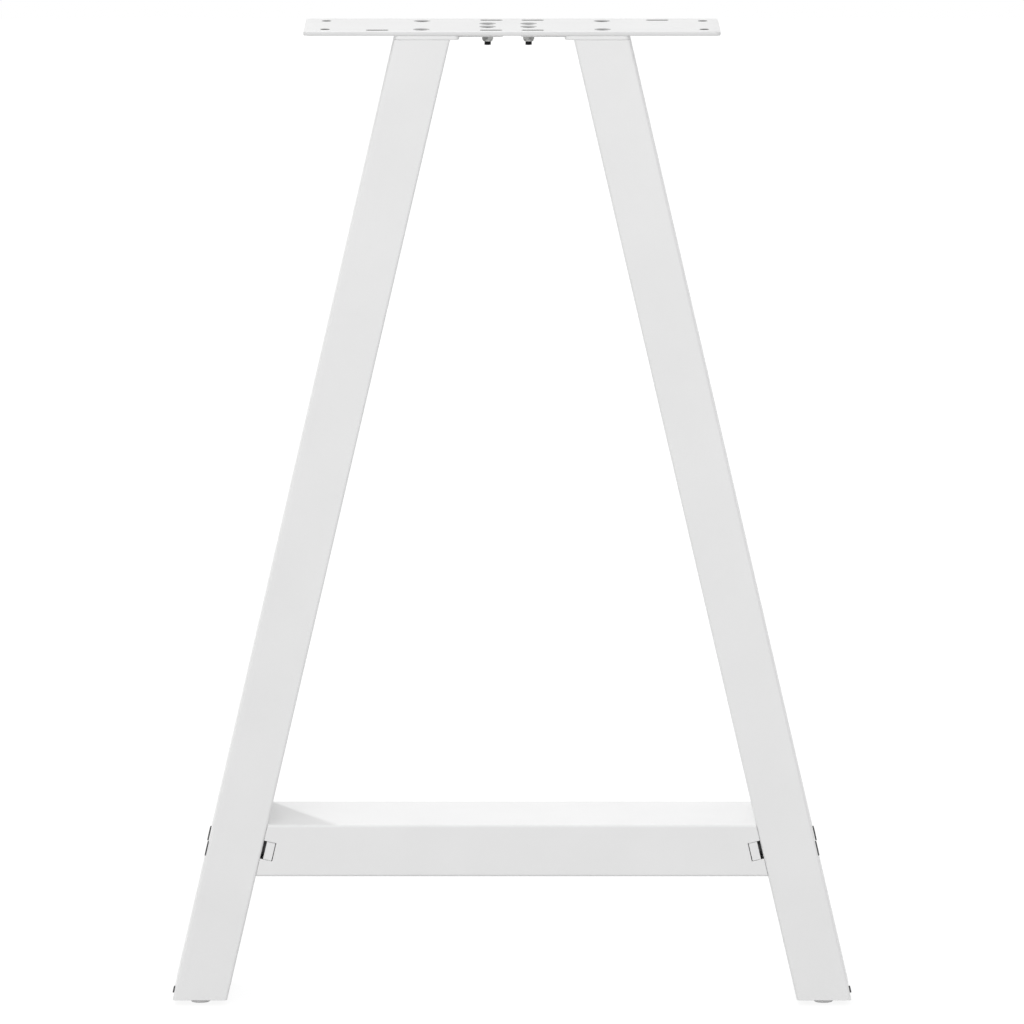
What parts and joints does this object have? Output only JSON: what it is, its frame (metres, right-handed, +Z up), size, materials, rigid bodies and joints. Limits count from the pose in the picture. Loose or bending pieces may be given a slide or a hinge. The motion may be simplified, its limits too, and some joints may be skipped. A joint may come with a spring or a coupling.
{
  "type": "trestle table leg",
  "caption": "A-shaped table leg of leaning rectangular steel tubes with a crossbar and a drilled and slotted top plate.",
  "frame": {"origin": "on the floor, below the centre of the frame", "axes": "+X along the frame from leg to leg, +Y through its depth away from the viewer, +Z up"},
  "size_m": [0.5008, 0.08, 0.72],
  "materials": {
    "white_steel": "white powder coat, satin",
    "zinc_steel": "bright zinc plating",
    "black_steel": "black oxide",
    "black_plastic": "moulded, matt",
    "grey_plastic": "moulded, matt"
  },
  "bodies": {
    "root": {"top_plate": "white_steel", "left_leg_flange": "white_steel", "right_leg_flange": "white_steel", "left_leg_tube": "white_steel", "right_leg_tube": "white_steel", "crossbar": "white_steel", "left_bar_end_plate": "white_steel", "right_bar_end_plate": "white_steel", "flange_screws": "black_steel", "centre_bolts": "black_steel", "centre_nuts": "zinc_steel", "left_bar_bolts": "black_steel", "right_bar_bolts": "black_steel", "left_bar_washers": "black_steel", "right_bar_washers": "black_steel", "left_bar_nuts": "zinc_steel", "right_bar_nuts": "zinc_steel", "left_hole_caps": "black_plastic", "right_hole_caps": "black_plastic", "left_foot_plug": "black_plastic", "right_foot_plug": "black_plastic", "left_plug_screw": "black_steel", "right_plug_screw": "black_steel", "left_front_foot": "grey_plastic", "left_back_foot": "grey_plastic", "right_front_foot": "grey_plastic", "right_back_foot": "grey_plastic"}
  },
  "joints": []
}
